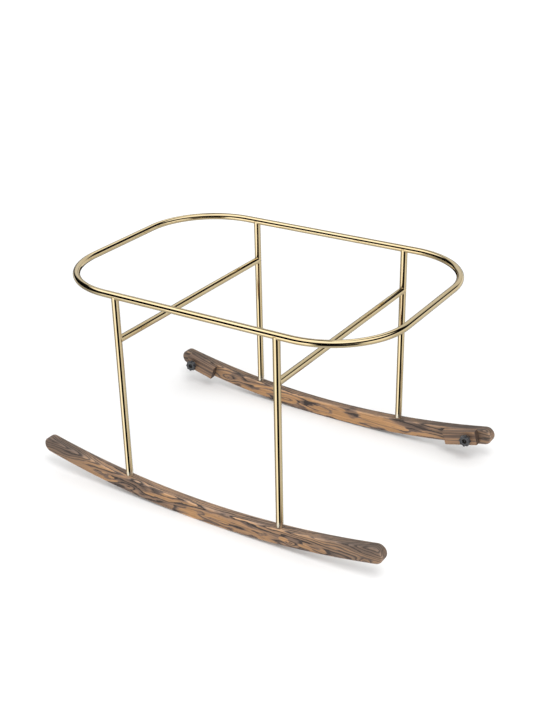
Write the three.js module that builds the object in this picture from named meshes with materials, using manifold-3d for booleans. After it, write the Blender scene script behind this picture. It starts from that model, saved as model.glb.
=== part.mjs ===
// Rocking stand for a bassinet: a ring of brass tube on four legs, two cross bars for the basket,
// two curved wooden rockers, and two wooden stoppers that turn down to the floor and are clamped
// by hand knobs.
// Millimetres. X runs along the rockers, Y across them, Z up. The origin is on the floor at the
// middle of the stand.
import * as THREE from "three";
import { mergeVertices } from "three/addons/utils/BufferGeometryUtils.js";
import Module from "manifold-3d";

const wasm = await Module();
wasm.setup();

// Ring, legs and cross bars, all of one size of tube.
const RING_LENGTH = 800; // between the tube's centre lines, along X
const RING_WIDTH = 554; // between the tube's centre lines, along Y
const RING_HEIGHT = 492; // the tube's centre line above the floor
const CORNER_RADIUS = 168; // of the tube's centre line
const TUBE_DIAMETER = 16;
const TUBE_WALL = 1;
const LEG_INSET = 30; // a leg's axis from the end of the ring's straight side
const CROSS_BAR_DROP = 103; // a cross bar's centre line below the ring's
const VENT_DIAMETER = 5; // hole in the ring's wall over each leg, which lets brazing gas out

// Rockers.
const ROCKER_LENGTH = 900;
const ROCKER_THICKNESS = 24;
const ROCKER_DEPTH = 40; // at the middle
const LOWER_RADIUS = 2080;
const UPPER_RADIUS = 2150;
const FLOOR_FLAT = 40; // flat at the middle of the lower edge
const EDGE_ROUND = 1.5;

// Leg fixings: a bolt from below draws each leg down into its socket.
const SOCKET_DEPTH = 14;
const BOLT_DIAMETER = 6;
const BOLT_HEAD_DIAMETER = 10;
const BOLT_HEAD_HEIGHT = 4;
const KEY_SOCKET_WIDTH = 4.6; // across the corners
const KEY_SOCKET_DEPTH = 2.5;
const COUNTERBORE_DEPTH = 9;
const PLUG_LENGTH = 18;
const THREAD_ENGAGED = 14; // length of bolt in the plug
const WASHER_THICKNESS = 1.6;
const WASHER_MARGIN = 1; // a bolt's washer is this much wider than its head, all round

// Stoppers, on the inner face of the far rocker.
const PIVOT_FROM_END = 52; // along X, from the rocker's end
const PIVOT_RISE = 23.5; // above the rocker's lower edge
const STOPPER_THICKNESS = 18;
const STOPPER_DEPTH = 35;
const STOPPER_TAIL = 22; // from the pivot to the square outer end
const STOPPER_COCK = THREE.MathUtils.degToRad(3.5); // how much steeper than the rocker it parks
const STOPPER_SLANT = THREE.MathUtils.degToRad(4.2); // of the inner end, off square
const FLOOR_CLEARANCE = 0.3; // under the inner end when the stopper is turned down
const STUD_DIAMETER = 6;
const STUD_IN_ROCKER = 18;
const FRICTION_WASHER_DIAMETER = 22;
const FRICTION_WASHER_THICKNESS = 1.5;
const KNOB_WASHER_DIAMETER = 16;

// Hand knobs.
const KNOB_DIAMETER = 28;
const KNOB_LOBES = 8;
const LOBE_SWELL = 1.2; // a lobe above the mean radius, and a flute below it
const KNOB_HEAD_HEIGHT = 12;
const COLLAR_DIAMETER = 18;
const COLLAR_HEIGHT = 4;
const INSERT_WALL = 2;
const STUD_BELOW_FACE = 4; // the stud's end, inside the knob's open hole

// Fits.
const GAP = 0.3; // between faces that touch
const SLIP = 0.3; // between a hole's wall and what goes through it

// Facets.
const TUBE_SIDES = 16;
const SMALL_SIDES = 16;
const CORNER_STEPS = 10;
const EDGE_STEPS = 11; // of a rocker's edge, from the floor flat to the end
const END_STEPS = 8;
const LOBE_STEPS = 6;

const QUARTER = Math.PI / 2;
const tubeRadius = TUBE_DIAMETER / 2;
const boreRadius = tubeRadius - TUBE_WALL;
const legX = RING_LENGTH / 2 - CORNER_RADIUS - LEG_INSET;
const sideY = RING_WIDTH / 2;
const crossBarHeight = RING_HEIGHT - CROSS_BAR_DROP;
const pivotX = ROCKER_LENGTH / 2 - PIVOT_FROM_END;

const brass = { color: 0xd9bd74, roughness: 0.18, metalness: 1 };
const rockerWood = { color: 0x9a6238, roughness: 0.55, metalness: 0 };
const stopperWood = { color: 0x8a5430, roughness: 0.55, metalness: 0 };
const blackPlastic = { color: 0x141416, roughness: 0.4, metalness: 0 };
const zincSteel = { color: 0xb9bcc0, roughness: 0.35, metalness: 1 };
const fibre = { color: 0x3a2f28, roughness: 0.9, metalness: 0 };

// ---- Solids ----

// A closed geometry as a solid that can be cut and joined.
function solid(geometry) {
  const bare = geometry.clone();
  bare.deleteAttribute("normal");
  bare.deleteAttribute("uv");
  const merged = mergeVertices(bare, 1e-4);
  const vertProperties = new Float32Array(merged.attributes.position.array);
  const triVerts = new Uint32Array(merged.index.array);
  return new wasm.Manifold(new wasm.Mesh({ numProp: 3, vertProperties, triVerts }));
}

// A named mesh of a solid.
function piece(name, made, look) {
  const mesh = made.getMesh();
  const geometry = new THREE.BufferGeometry();
  geometry.setAttribute("position", new THREE.BufferAttribute(mesh.vertProperties, 3));
  geometry.setIndex(new THREE.BufferAttribute(mesh.triVerts, 1));
  geometry.computeVertexNormals();
  const part = new THREE.Mesh(geometry, new THREE.MeshStandardMaterial(look));
  part.name = name;
  return part;
}

// A round bar on the Z axis, from one height to another.
function rod(radius, low, high, facets = SMALL_SIDES) {
  const bar = new THREE.CylinderGeometry(radius, radius, high - low, facets);
  bar.rotateX(QUARTER);
  return bar.translate(0, 0, (low + high) / 2);
}

// A washer or bush on the Z axis.
function bush(outerRadius, innerRadius, low, high) {
  const hole = solid(rod(innerRadius, low - 1, high + 1));
  return solid(rod(outerRadius, low, high)).subtract(hole);
}

// A flat outline made a board, from zero to its thickness along Z, with its long edges eased.
function board(outline, thickness, round) {
  const shape = new THREE.ExtrudeGeometry(outline, {
    depth: thickness - 2 * round,
    curveSegments: END_STEPS,
    bevelThickness: round,
    bevelSize: round,
    bevelOffset: -round,
    bevelSegments: 1,
  });
  return solid(shape.translate(0, 0, round));
}

// ---- Brass frame ----

// A torus whose four quarters are drawn apart, so that straight tube joins its round corners.
function ringTube(radius) {
  const perCorner = CORNER_STEPS + 1;
  const torus = new THREE.TorusGeometry(CORNER_RADIUS, radius, TUBE_SIDES, 4 * perCorner);
  const shiftX = RING_LENGTH / 2 - CORNER_RADIUS;
  const shiftY = RING_WIDTH / 2 - CORNER_RADIUS;
  const place = torus.attributes.position;
  for (let i = 0; i < place.count; i++) {
    const step = i % (4 * perCorner + 1);
    const corner = Math.floor(step / perCorner) % 4;
    const turn = (corner + (step % perCorner) / CORNER_STEPS) * QUARTER;
    const out = Math.hypot(place.getX(i), place.getY(i));
    place.setX(i, out * Math.cos(turn) + (corner % 3 === 0 ? shiftX : -shiftX));
    place.setY(i, out * Math.sin(turn) + (corner < 2 ? shiftY : -shiftY));
  }
  return solid(torus.translate(0, 0, RING_HEIGHT));
}

function ring() {
  let made = ringTube(tubeRadius).subtract(ringTube(boreRadius));
  for (const x of [-legX, legX]) {
    for (const y of [-sideY, sideY]) {
      const vent = rod(VENT_DIAMETER / 2, RING_HEIGHT - TUBE_DIAMETER, RING_HEIGHT);
      made = made.subtract(solid(vent.translate(x, y, 0)));
    }
  }
  return piece("ring", made, brass);
}

// A leg stands in its rocker's socket, and its top is cut to the round of the ring.
function leg(name) {
  const tube = solid(rod(tubeRadius, legFoot(), RING_HEIGHT, TUBE_SIDES));
  const bore = solid(rod(boreRadius, legFoot() - 1, RING_HEIGHT + 1, TUBE_SIDES));
  const ringSpace = rod(tubeRadius + GAP, -TUBE_DIAMETER, TUBE_DIAMETER, TUBE_SIDES);
  ringSpace.rotateY(QUARTER).translate(0, 0, RING_HEIGHT);
  return piece(name, tube.subtract(bore).subtract(solid(ringSpace)), brass);
}

// A cross bar runs from a near leg to a far one, with both ends cut to the round of the legs.
function crossBar(name) {
  const bar = rod(tubeRadius, -sideY, sideY, TUBE_SIDES).rotateX(QUARTER);
  const bore = rod(boreRadius, -sideY - 1, sideY + 1, TUBE_SIDES).rotateX(QUARTER);
  let made = solid(bar).subtract(solid(bore));
  for (const y of [-sideY, sideY]) {
    const legSpace = rod(tubeRadius + GAP, -TUBE_DIAMETER, TUBE_DIAMETER, TUBE_SIDES);
    made = made.subtract(solid(legSpace.translate(0, y, 0)));
  }
  return piece(name, made, brass);
}

// ---- Rockers ----

function arcRise(radius, x) {
  return radius - Math.sqrt(radius * radius - x * x);
}

function lowerEdge(x) {
  return Math.max(0, arcRise(LOWER_RADIUS, x) - arcRise(LOWER_RADIUS, FLOOR_FLAT / 2));
}

function upperEdge(x) {
  return ROCKER_DEPTH + arcRise(UPPER_RADIUS, x);
}

// Points of a long edge, middle part first left then right, short of the half-round ends.
function edgePoints(reach, edge) {
  const right = [];
  for (let i = 0; i < EDGE_STEPS; i++) {
    const x = FLOOR_FLAT / 2 + ((reach - FLOOR_FLAT / 2) * i) / EDGE_STEPS;
    right.push(new THREE.Vector2(x, edge(x)));
  }
  const left = right.map((p) => new THREE.Vector2(-p.x, p.y)).reverse();
  return [...left, ...right];
}

// A rocker in X and Z: two long arcs, joined by half-round ends that are square to them.
function rockerOutline() {
  const nearEnd = ROCKER_LENGTH / 2 - ROCKER_DEPTH / 2;
  const slope = Math.asin(nearEnd / LOWER_RADIUS);
  const radius = ((upperEdge(nearEnd) - lowerEdge(nearEnd)) / 2) * Math.cos(slope);
  const x = ROCKER_LENGTH / 2 - radius;
  const z = (upperEdge(x) + lowerEdge(x)) / 2;
  const lean = radius * Math.sin(slope);
  const outline = new THREE.Shape(edgePoints(x + lean, lowerEdge));
  outline.absarc(x, z, radius, slope - QUARTER, slope + QUARTER);
  for (const p of edgePoints(x - lean, upperEdge).reverse()) outline.lineTo(p.x, p.y);
  outline.absarc(-x, z, radius, QUARTER - slope, 3 * QUARTER - slope);
  return outline;
}

// Heights of the fixings under a leg, from its socket down to the bolt's head.
function socketFloor() {
  return upperEdge(legX) - SOCKET_DEPTH;
}

function legFoot() {
  return socketFloor() + GAP;
}

function counterboreRoof() {
  return lowerEdge(legX) + COUNTERBORE_DEPTH;
}

function washerUnderside() {
  return counterboreRoof() - GAP - WASHER_THICKNESS;
}

// A rocker with its two leg sockets, bolt holes and counterbores.
function rockerBlank() {
  const upright = board(rockerOutline(), ROCKER_THICKNESS, EDGE_ROUND);
  let made = upright.rotate([90, 0, 0]).translate([0, ROCKER_THICKNESS / 2, 0]);
  const washerSpace = BOLT_HEAD_DIAMETER / 2 + WASHER_MARGIN + SLIP;
  for (const x of [-legX, legX]) {
    const socket = rod(tubeRadius + SLIP, socketFloor(), RING_HEIGHT, TUBE_SIDES);
    const hole = rod(BOLT_DIAMETER / 2 + SLIP, 0, RING_HEIGHT);
    const counterbore = rod(washerSpace, -ROCKER_DEPTH, counterboreRoof());
    for (const cut of [socket, hole, counterbore]) {
      made = made.subtract(solid(cut.translate(x, 0, 0)));
    }
  }
  return made;
}

// The far rocker also has a blind hole for each stopper's stud, in its inner face.
function farRocker(name) {
  let made = rockerBlank();
  for (const x of [-pivotX, pivotX]) {
    const hole = rod(STUD_DIAMETER / 2 + SLIP, -STUD_IN_ROCKER - GAP, ROCKER_THICKNESS);
    hole.rotateX(QUARTER).translate(x, -ROCKER_THICKNESS / 2, pivotHeight());
    made = made.subtract(solid(hole));
  }
  return piece(name, made, rockerWood);
}

// ---- Leg fixings, on the leg's axis ----

function legPlug(name) {
  const made = bush(boreRadius - SLIP, BOLT_DIAMETER / 2 + SLIP, legFoot(), legFoot() + PLUG_LENGTH);
  return piece(name, made, brass);
}

function legBolt(name) {
  const headTop = washerUnderside() - GAP;
  const head = rod(BOLT_HEAD_DIAMETER / 2, headTop - BOLT_HEAD_HEIGHT, headTop);
  const shank = rod(BOLT_DIAMETER / 2, headTop - BOLT_HEAD_HEIGHT / 2, legFoot() + THREAD_ENGAGED);
  const keyRoof = headTop - BOLT_HEAD_HEIGHT + KEY_SOCKET_DEPTH;
  const keySocket = rod(KEY_SOCKET_WIDTH / 2, -ROCKER_DEPTH, keyRoof, 6);
  return piece(name, solid(head).add(solid(shank)).subtract(solid(keySocket)), zincSteel);
}

function boltWasher(name) {
  const outer = BOLT_HEAD_DIAMETER / 2 + WASHER_MARGIN;
  const low = washerUnderside();
  const made = bush(outer, BOLT_DIAMETER / 2 + SLIP, low, low + WASHER_THICKNESS);
  return piece(name, made, zincSteel);
}

// ---- Stoppers: on the stud's axis, X and Y as the rocker's X and Z, Z out of its inner face ----

function pivotHeight() {
  return lowerEdge(pivotX) + PIVOT_RISE;
}

const stopperBack = FRICTION_WASHER_THICKNESS + 2 * GAP;
const knobWasherBack = stopperBack + STOPPER_THICKNESS + GAP;
const knobBack = knobWasherBack + WASHER_THICKNESS + GAP;
const knobFace = knobBack + COLLAR_HEIGHT + KNOB_HEAD_HEIGHT;
const studEnd = knobFace - STUD_BELOW_FACE;
const insertRadius = STUD_DIAMETER / 2 + SLIP + INSERT_WALL;

// A stopper's four corners. Its inner end is at the height of the pivot above the floor, so that it
// meets the floor flat when the stopper is turned down.
function stopper(name, end) {
  const reach = pivotHeight() - FLOOR_CLEARANCE;
  const slope = Math.asin(pivotX / LOWER_RADIUS) + STOPPER_COCK;
  const innerEnd = (v) => (reach + v * Math.sin(STOPPER_SLANT)) / Math.cos(STOPPER_SLANT);
  const half = STOPPER_DEPTH / 2;
  const corners = [
    [-STOPPER_TAIL, -half],
    [innerEnd(-half), -half],
    [innerEnd(half), half],
    [-STOPPER_TAIL, half],
  ];
  const outline = new THREE.Shape(
    corners.map(([u, v]) => {
      const x = -u * Math.cos(slope) - v * Math.sin(slope);
      return new THREE.Vector2(end * x, v * Math.cos(slope) - u * Math.sin(slope));
    }),
  );
  const hole = rod(STUD_DIAMETER / 2 + SLIP, -1, STOPPER_THICKNESS + 1);
  const made = board(outline, STOPPER_THICKNESS, EDGE_ROUND).subtract(solid(hole));
  const part = piece(name, made, stopperWood);
  part.position.z = stopperBack;
  return part;
}

function stud(name) {
  return piece(name, solid(rod(STUD_DIAMETER / 2, -STUD_IN_ROCKER, studEnd)), zincSteel);
}

function frictionWasher(name) {
  const outer = FRICTION_WASHER_DIAMETER / 2;
  const made = bush(outer, STUD_DIAMETER / 2 + SLIP, GAP, GAP + FRICTION_WASHER_THICKNESS);
  return piece(name, made, fibre);
}

function knobWasher(name) {
  const outer = KNOB_WASHER_DIAMETER / 2;
  const made = bush(outer, STUD_DIAMETER / 2 + SLIP, 0, WASHER_THICKNESS);
  const part = piece(name, made, zincSteel);
  part.position.z = knobWasherBack;
  return part;
}

// A fluted head on a round collar, with an open hole for the threaded insert.
function knob(name) {
  const points = [];
  for (let i = 0; i < KNOB_LOBES * LOBE_STEPS; i++) {
    const turn = (i / (KNOB_LOBES * LOBE_STEPS)) * 2 * Math.PI;
    const radius = KNOB_DIAMETER / 2 - LOBE_SWELL * (1 - Math.cos(KNOB_LOBES * turn));
    points.push(new THREE.Vector2(radius * Math.cos(turn), radius * Math.sin(turn)));
  }
  const head = board(new THREE.Shape(points), KNOB_HEAD_HEIGHT, EDGE_ROUND);
  const collar = solid(rod(COLLAR_DIAMETER / 2, 0, COLLAR_HEIGHT + 1));
  const hole = solid(rod(insertRadius + GAP, -1, knobFace - knobBack + 1));
  const made = head.translate([0, 0, COLLAR_HEIGHT]).add(collar).subtract(hole);
  const part = piece(name, made, blackPlastic);
  part.position.z = knobBack;
  return part;
}

function knobInsert(name) {
  const made = bush(insertRadius, STUD_DIAMETER / 2 + SLIP, 0, studEnd - knobBack);
  const part = piece(name, made, brass);
  part.position.z = knobBack;
  return part;
}

// ---- The stand ----

const stand = new THREE.Group();
stand.add(ring());

for (const [end, endName] of [[-1, "left"], [1, "right"]]) {
  const bar = crossBar("cross_bar_" + endName);
  bar.position.set(end * legX, 0, crossBarHeight);
  stand.add(bar);

  for (const [side, sideName] of [[-1, "near"], [1, "far"]]) {
    const corner = new THREE.Group();
    const where = "_" + sideName + "_" + endName;
    corner.add(leg("leg" + where), legPlug("leg_plug" + where));
    corner.add(legBolt("leg_bolt" + where), boltWasher("leg_washer" + where));
    corner.position.set(end * legX, side * sideY, 0);
    stand.add(corner);
  }

  const pivot = new THREE.Group();
  pivot.add(stopper("stopper_" + endName, end), stud("stopper_stud_" + endName));
  pivot.add(frictionWasher("friction_washer_" + endName), knobWasher("knob_washer_" + endName));
  pivot.add(knob("knob_" + endName), knobInsert("knob_insert_" + endName));
  pivot.rotation.x = QUARTER;
  pivot.position.set(end * pivotX, sideY - ROCKER_THICKNESS / 2, pivotHeight());
  stand.add(pivot);
}

const nearRocker = piece("rocker_near", rockerBlank(), rockerWood);
nearRocker.position.y = -sideY;
const backRocker = farRocker("rocker_far");
backRocker.position.y = sideY;
stand.add(nearRocker, backRocker);

export default stand;
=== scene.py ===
# Rocking stand for a bassinet, in metres. X runs along the rockers, Y across them, Z up.
import math

import bmesh
import bpy
from mathutils import Matrix, Vector


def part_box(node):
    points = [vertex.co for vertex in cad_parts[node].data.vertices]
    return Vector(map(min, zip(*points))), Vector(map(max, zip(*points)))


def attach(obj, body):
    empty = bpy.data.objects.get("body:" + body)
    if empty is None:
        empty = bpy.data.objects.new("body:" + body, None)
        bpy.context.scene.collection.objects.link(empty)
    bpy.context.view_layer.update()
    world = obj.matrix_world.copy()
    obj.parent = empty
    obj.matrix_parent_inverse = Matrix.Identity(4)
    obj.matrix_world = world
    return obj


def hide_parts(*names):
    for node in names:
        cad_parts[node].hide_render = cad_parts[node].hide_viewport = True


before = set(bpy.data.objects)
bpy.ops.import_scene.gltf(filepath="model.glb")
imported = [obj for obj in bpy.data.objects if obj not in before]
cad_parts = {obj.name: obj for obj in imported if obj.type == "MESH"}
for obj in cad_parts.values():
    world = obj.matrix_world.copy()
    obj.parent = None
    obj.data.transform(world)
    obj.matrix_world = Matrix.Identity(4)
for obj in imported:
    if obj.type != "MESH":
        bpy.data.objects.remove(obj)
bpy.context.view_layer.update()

# ---- The camera ----
# It stands in front of the near rocker's right half and looks down on the stand, leaning a degree
# and a half to one side.
CAMERA_PLACE = Vector((1.2823, -1.9682, 1.4143))
CAMERA_LOOK = Vector((-0.49693, 0.74723, -0.44125)).normalized()
CAMERA_ROLL = math.radians(-1.511)

camera_data = bpy.data.cameras.new("studio_camera")
camera_data.lens = 56.91
camera_data.sensor_width = 36
camera_data.shift_x = 0.01663
camera_data.shift_y = 0.00827
camera_data.clip_start = 0.05
camera_data.clip_end = 200
camera = bpy.data.objects.new("studio_camera", camera_data)
level_right = CAMERA_LOOK.cross(Vector((0, 0, 1))).normalized()
level_up = level_right.cross(CAMERA_LOOK)
right = math.cos(CAMERA_ROLL) * level_right + math.sin(CAMERA_ROLL) * level_up
up = math.cos(CAMERA_ROLL) * level_up - math.sin(CAMERA_ROLL) * level_right
camera.matrix_world = Matrix(
    (
        (right.x, up.x, -CAMERA_LOOK.x, CAMERA_PLACE.x),
        (right.y, up.y, -CAMERA_LOOK.y, CAMERA_PLACE.y),
        (right.z, up.z, -CAMERA_LOOK.z, CAMERA_PLACE.z),
        (0, 0, 0, 1),
    )
)
bpy.context.scene.collection.objects.link(camera)
bpy.context.scene.camera = camera

# ---- The studio ----
# A white sheet on the floor under a wide soft lamp. Polished metal mirrors a room instead: a white
# table, dark walls with one pale card, a bright ceiling, and white, grey and black cards on both.
SHEET_HALF = 30
SHEET_UNDER = 0.0002
SHEET_WHITE = (0.9, 0.9, 0.9, 1)
# The sheet glows a little far out, so that it meets the backdrop without an edge.
SHEET_GLOW = 0.28
SHEET_GLOW_FROM = 0.9
SHEET_GLOW_FULL = 2.6
DAYLIGHT = 0.955
BACKDROP = 1.02
LAMP_SIZE = 1.9
LAMP_PLACE = (1.4, -1.5, 3.2)
LAMP_AIM = Vector((0, 0, 0.1))
LAMP_WATTS = 62
# Heights in the room are the sine of the angle above the level. The walls start lower on one side.
WALL_FOOT = (-0.015, 0.060)
WALL_TOP = (0.595, 0.690)
WALL_LEAN = 0.175
WALL_LEAN_HEADING = -34
WALL_DARK = 0.004
TABLE_WHITE = 0.86
TABLE_LEAST = 0.56
TABLE_FALL = 0.62
CEILING_WHITE = 1.35
# Each card: its heading and width in degrees, how soft its edges are, and what it makes of the white.
TABLE_CARDS_TOP = (-0.08, 0.0)
TABLE_CARDS_FOOT = (-0.78, -0.60)
TABLE_CARDS = [
    (36, 58, 5, 0.0),
    (-147, 58, 5, 0.0),
    (-20, 40, 6, 2.5),
    (-80, 38, 8, 0.5),
    (92, 34, 8, 1.6),
    (200, 34, 8, 1.7),
]
CEILING_CARDS = [(-132, 38, 9, 0.08), (-65, 34, 9, 1.2), (157, 42, 6, 0.0)]
WALL_CARD = (-157, 76, 8)
WALL_CARD_PALE = 0.7
WALL_CARD_FOOT = (0.10, 0.32)


def node(tree, kind, settings=None, **inputs):
    """A node with its settings, and its inputs linked to outputs or set to values. An input is
    given by its name, or by its number as i0, i1 and so on."""
    made = tree.nodes.new(kind)
    for name, value in (settings or {}).items():
        setattr(made, name, value)
    for name, value in inputs.items():
        key = int(name[1:]) if name[0] == "i" and name[1:].isdigit() else name.replace("_", " ")
        socket = made.inputs[key]
        if isinstance(value, bpy.types.NodeSocket):
            tree.links.new(value, socket)
        else:
            socket.default_value = value
    return made


def maths(tree, operation, first, second=0.0, third=0.0):
    """The output of a math node: an operation on two values or three."""
    settings = {"operation": operation}
    return node(tree, "ShaderNodeMath", settings, i0=first, i1=second, i2=third).outputs[0]


def fade(tree, value, low, high, at_low=0.0, at_high=1.0):
    """A smooth step of value between two limits."""
    settings = {"interpolation_type": "SMOOTHSTEP"}
    inputs = {"i0": value, "i1": low, "i2": high, "i3": at_low, "i4": at_high}
    return node(tree, "ShaderNodeMapRange", settings, **inputs).outputs[0]


def ramp(tree, value, stops):
    """A colour ramp through stops of (place, colour or grey)."""
    made = node(tree, "ShaderNodeValToRGB", None, i0=value)
    elements = made.color_ramp.elements
    while len(elements) < len(stops):
        elements.new(0.5)
    for element, (place, colour) in zip(elements, stops):
        element.position = place
        element.color = (*colour, 1) if isinstance(colour, tuple) else (colour, colour, colour, 1)
    return made.outputs[0]


def blend_colours(tree, share, first, second, how="MIX"):
    """Two colours blended by a share."""
    made = node(tree, "ShaderNodeMix", {"data_type": "RGBA", "blend_type": how}, i0=share)
    for index, value in ((6, first), (7, second)):
        if isinstance(value, bpy.types.NodeSocket):
            tree.links.new(value, made.inputs[index])
        else:
            made.inputs[index].default_value = (*value[:3], 1)
    return made.outputs[2]


world = bpy.data.worlds.new("studio_room")
bpy.context.scene.world = world
world.use_nodes = True
room = world.node_tree
room.nodes.clear()
heading = node(room, "ShaderNodeTexCoord").outputs["Generated"]
parts = node(room, "ShaderNodeSeparateXYZ", None, i0=heading)
height = parts.outputs[2]
level = node(room, "ShaderNodeCombineXYZ", None, i0=parts.outputs[0], i1=parts.outputs[1], i2=0.0)
around = node(room, "ShaderNodeVectorMath", {"operation": "NORMALIZE"}, i0=level.outputs[0]).outputs[0]


def toward(vector, at):
    """How nearly a direction heads the way of an angle, from -1 to 1."""
    way = (math.sin(math.radians(at)), -math.cos(math.radians(at)), 0)
    settings = {"operation": "DOT_PRODUCT"}
    return node(room, "ShaderNodeVectorMath", settings, i0=vector, i1=way).outputs["Value"]


def on_card(at, wide, soft, off=0.0, on=1.0):
    """A value for the headings that a card covers, fading to another beside it."""
    outer = math.cos(math.radians(wide / 2 + soft))
    inner = math.cos(math.radians(wide / 2 - soft))
    return fade(room, toward(around, at), outer, inner, off, on)


def carded(white, mask, cards):
    """A white changed by cards that each cover some headings, within a mask."""
    for at, wide, soft, strength in cards:
        share = maths(room, "MULTIPLY", on_card(at, wide, soft), mask)
        white = maths(room, "MULTIPLY", white, maths(room, "MULTIPLY_ADD", share, strength - 1, 1.0))
    return white


leant = maths(room, "MULTIPLY_ADD", toward(level.outputs[0], WALL_LEAN_HEADING), WALL_LEAN, height)
above_table = fade(room, leant, *WALL_FOOT)
under_ceiling = fade(room, height, *WALL_TOP, 1.0, 0.0)
table_band = maths(
    room,
    "MULTIPLY",
    fade(room, height, *TABLE_CARDS_TOP, 1.0, 0.0),
    fade(room, height, *TABLE_CARDS_FOOT),
)
table = maths(room, "MULTIPLY_ADD", height, TABLE_FALL, TABLE_WHITE)
table = maths(room, "MAXIMUM", table, TABLE_LEAST)
table = maths(room, "MINIMUM", table, TABLE_WHITE)
table = carded(table, table_band, TABLE_CARDS)
table = maths(room, "MULTIPLY", table, maths(room, "SUBTRACT", 1.0, above_table))
ceiling = carded(CEILING_WHITE, 1.0, CEILING_CARDS)
ceiling = maths(room, "MULTIPLY", ceiling, maths(room, "SUBTRACT", 1.0, under_ceiling))
wall = on_card(*WALL_CARD, WALL_DARK, WALL_CARD_PALE)
wall = maths(room, "MULTIPLY", wall, fade(room, height, *WALL_CARD_FOOT))
wall = maths(room, "MULTIPLY", wall, maths(room, "MULTIPLY", above_table, under_ceiling))
mirrored = maths(room, "ADD", table, maths(room, "ADD", ceiling, wall))
light_path = node(room, "ShaderNodeLightPath")
by_metal = light_path.outputs["Is Glossy Ray"]
light = maths(
    room,
    "ADD",
    maths(room, "MULTIPLY", mirrored, by_metal),
    maths(room, "MULTIPLY", maths(room, "SUBTRACT", 1.0, by_metal), DAYLIGHT),
)
by_camera = light_path.outputs["Is Camera Ray"]
light = maths(room, "MULTIPLY_ADD", by_camera, BACKDROP - DAYLIGHT, light)
lit = node(room, "ShaderNodeBackground", None, Color=(1, 1, 1, 1), Strength=light)
node(room, "ShaderNodeOutputWorld", None, Surface=lit.outputs[0])

floor_mesh = bpy.data.meshes.new("studio_floor")
bm = bmesh.new()
bmesh.ops.create_grid(bm, x_segments=1, y_segments=1, size=SHEET_HALF)
bm.to_mesh(floor_mesh)
bm.free()
floor = bpy.data.objects.new("studio_floor", floor_mesh)
floor.location.z = -SHEET_UNDER
floor.visible_glossy = False
bpy.context.scene.collection.objects.link(floor)
sheet = bpy.data.materials.new("studio_sheet")
sheet.use_nodes = True
paper = sheet.node_tree.nodes["Principled BSDF"]
paper.inputs["Base Color"].default_value = SHEET_WHITE
paper.inputs["Roughness"].default_value = 1
paper.inputs["Specular IOR Level"].default_value = 0
paper.inputs["Emission Color"].default_value = (1, 1, 1, 1)
on_sheet = node(sheet.node_tree, "ShaderNodeTexCoord").outputs["Object"]
from_middle = node(sheet.node_tree, "ShaderNodeVectorMath", {"operation": "LENGTH"}, i0=on_sheet)
from_middle = from_middle.outputs["Value"]
glow = fade(sheet.node_tree, from_middle, SHEET_GLOW_FROM, SHEET_GLOW_FULL, 0.0, SHEET_GLOW)
sheet.node_tree.links.new(glow, paper.inputs["Emission Strength"])
# Seen from below, the sheet is clear.
from_below = node(sheet.node_tree, "ShaderNodeNewGeometry").outputs["Backfacing"]
clear = node(sheet.node_tree, "ShaderNodeBsdfTransparent")
sides = {"i0": from_below, "i1": paper.outputs[0], "i2": clear.outputs[0]}
one_sided = node(sheet.node_tree, "ShaderNodeMixShader", None, **sides)
sheet_end = sheet.node_tree.nodes["Material Output"]
sheet.node_tree.links.new(one_sided.outputs[0], sheet_end.inputs["Surface"])
floor_mesh.materials.append(sheet)

lamp_data = bpy.data.lights.new("studio_lamp", "AREA")
lamp_data.shape = "SQUARE"
lamp_data.size = LAMP_SIZE
lamp_data.energy = LAMP_WATTS
lamp = bpy.data.objects.new("studio_lamp", lamp_data)
lamp.location = LAMP_PLACE
lamp.rotation_euler = (LAMP_AIM - lamp.location).to_track_quat("-Z", "Y").to_euler()
lamp.visible_glossy = False
bpy.context.scene.collection.objects.link(lamp)

view = bpy.context.scene.view_settings
view.view_transform = "Standard"
view.look = "None"

# ---- The ring ----
# One length of brass tube bent at four round corners, joined end to end under a polish. It is
# lacquered, so only faint buffing marks and a little unevenness of colour show.
TUBE_RADIUS = 0.008
RING_HALF_LENGTH = 0.400
RING_HALF_WIDTH = 0.277
RING_HEIGHT = 0.492
CORNER_RADIUS = 0.168
TUBE_SIDES = 64
CORNER_STEPS = 40
SHARP_EDGE = math.radians(32)
BRASS = (0.83, 0.682, 0.417)
BRASS_DEEP = (0.78, 0.615, 0.35)
BRASS_PALE = (0.90, 0.83, 0.68)


def new_material(name):
    """An empty material: its node tree, its shader, and its object coordinates."""
    material = bpy.data.materials.new(name)
    material.use_nodes = True
    tree = material.node_tree
    shader = tree.nodes["Principled BSDF"]
    place = node(tree, "ShaderNodeTexCoord").outputs["Object"]
    return material, tree, shader, place


def stretched(tree, place, scale, location=(0, 0, 0)):
    """Coordinates scaled by axis, so that a pattern runs along a piece."""
    made = node(tree, "ShaderNodeMapping", None, Vector=place, Scale=scale, Location=location)
    return made.outputs[0]


def part_of(tree, place, axis):
    """One part of a place or a direction: 0, 1 or 2 for X, Y or Z."""
    return node(tree, "ShaderNodeSeparateXYZ", None, i0=place).outputs[axis]


def noise(tree, place, scale, detail, roughness):
    """The grey output of a noise texture."""
    inputs = {"Vector": place, "Scale": scale, "Detail": detail, "Roughness": roughness}
    return node(tree, "ShaderNodeTexNoise", None, **inputs).outputs[0]


def dressed(tree, shader, colour, rough, height, strength, distance):
    """A shader given its colour, its roughness and a bump from a height."""
    bump = node(tree, "ShaderNodeBump", None, Strength=strength, Distance=distance, Height=height)
    tree.links.new(colour, shader.inputs["Base Color"])
    tree.links.new(rough, shader.inputs["Roughness"])
    tree.links.new(bump.outputs[0], shader.inputs["Normal"])


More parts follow.
